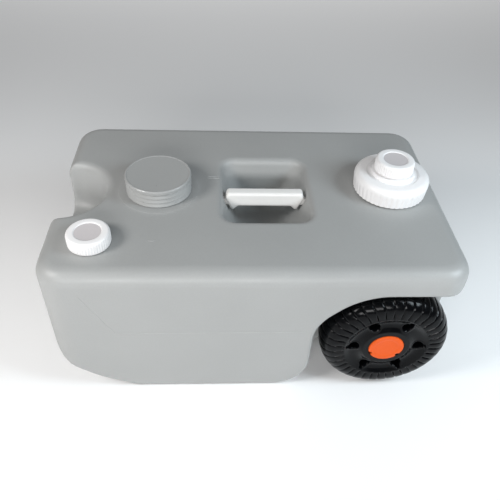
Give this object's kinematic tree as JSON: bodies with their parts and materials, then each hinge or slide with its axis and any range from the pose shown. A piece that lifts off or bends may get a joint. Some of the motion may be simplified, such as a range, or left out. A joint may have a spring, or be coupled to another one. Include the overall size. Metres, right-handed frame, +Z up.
{
  "type": "portable waste tote",
  "caption": "Low rectangular hollow tank on two rear wheels, with a sunken carry handle, screw caps on top and a notch in the towing end.",
  "frame": {"origin": "on the ground, in the middle of the footprint", "axes": "+X towards the wheel end, -Y towards the side that the small vent cap is on, +Z up"},
  "size_m": [0.5, 0.3324, 0.2507],
  "materials": {
    "tank_grey": "satin blow-moulded polyethylene",
    "cap_grey": "satin moulded polypropylene",
    "grip_grey": "satin moulded polypropylene",
    "cap_white": "semi-gloss moulded polypropylene",
    "seal_black": "matt",
    "wheel_black": "semi-gloss blow-moulded polyethylene",
    "hub_orange": "semi-gloss moulded polypropylene",
    "bush_white": "natural nylon",
    "zinc_steel": "zinc plated"
  },
  "bodies": {
    "tank": {"tank_shell": "tank_grey", "carry_handle": "grip_grey", "axle_rod": "zinc_steel", "inner_washer_left": "zinc_steel", "outer_washer_left": "zinc_steel", "push_nut_left": "zinc_steel", "inner_washer_right": "zinc_steel", "outer_washer_right": "zinc_steel", "push_nut_right": "zinc_steel"},
    "left_wheel": {"wheel_left": "wheel_black", "hub_cap_left": "hub_orange", "inner_bush_left": "bush_white", "outer_bush_left": "bush_white"},
    "right_wheel": {"wheel_right": "wheel_black", "hub_cap_right": "hub_orange", "inner_bush_right": "bush_white", "outer_bush_right": "bush_white"},
    "cleanout_seal": {"cleanout_gasket": "seal_black"},
    "cleanout_closure": {"cleanout_cap": "cap_grey"},
    "vent_seal": {"vent_gasket": "seal_black"},
    "vent_closure": {"vent_cap": "cap_white"},
    "drain_seal": {"drain_gasket": "seal_black"},
    "drain_closure": {"drain_cap": "cap_white"},
    "spout_seal": {"spout_gasket": "seal_black"},
    "spout_closure": {"spout_cap": "cap_white"}
  },
  "joints": [
    {"name": "left_wheel_spin", "type": "hinge", "parent": "tank", "child": "left_wheel", "pos_m": [0.166, -0.139, 0.0815], "axis": [0, 1, 0], "continuous": true},
    {"name": "right_wheel_spin", "type": "hinge", "parent": "tank", "child": "right_wheel", "pos_m": [0.166, 0.139, 0.0815], "axis": [0, 1, 0], "continuous": true},
    {"name": "cleanout_cap_lift", "type": "slide", "parent": "tank", "child": "cleanout_seal", "axis": [0, 0, 1], "range_m": [0, 0.0196]},
    {"name": "cleanout_cap_turn", "type": "hinge", "parent": "cleanout_seal", "child": "cleanout_closure", "pos_m": [-0.121, -0.001, 0.2048], "axis": [0, 0, 1], "range_deg": [0, 1080]},
    {"name": "vent_cap_lift", "type": "slide", "parent": "tank", "child": "vent_seal", "axis": [0, 0, 1], "range_m": [0, 0.0121]},
    {"name": "vent_cap_turn", "type": "hinge", "parent": "vent_seal", "child": "vent_closure", "pos_m": [-0.192, -0.1055, 0.204], "axis": [0, 0, 1], "range_deg": [0, 1080]},
    {"name": "drain_cap_lift", "type": "slide", "parent": "tank", "child": "drain_seal", "axis": [0, 0, 1], "range_m": [0, 0.0151]},
    {"name": "drain_cap_turn", "type": "hinge", "parent": "drain_seal", "child": "drain_closure", "pos_m": [0.182, 0.005, 0.2048], "axis": [0, 0, 1], "range_deg": [0, 1080]},
    {"name": "spout_cap_lift", "type": "slide", "parent": "drain_closure", "child": "spout_seal", "axis": [0, 0, 1], "range_m": [0, 0.0121]},
    {"name": "spout_cap_turn", "type": "hinge", "parent": "spout_seal", "child": "spout_closure", "pos_m": [0.182, 0.005, 0.2338], "axis": [0, 0, 1], "range_deg": [0, 1080]}
  ],
  "couplings": [
    {"joint": "cleanout_cap_lift", "follows": "cleanout_cap_turn", "m_per_rad": 0.0010345},
    {"joint": "vent_cap_lift", "follows": "vent_cap_turn", "m_per_rad": 0.00063662},
    {"joint": "drain_cap_lift", "follows": "drain_cap_turn", "m_per_rad": 0.00079577},
    {"joint": "spout_cap_lift", "follows": "spout_cap_turn", "m_per_rad": 0.00063662}
  ]
}
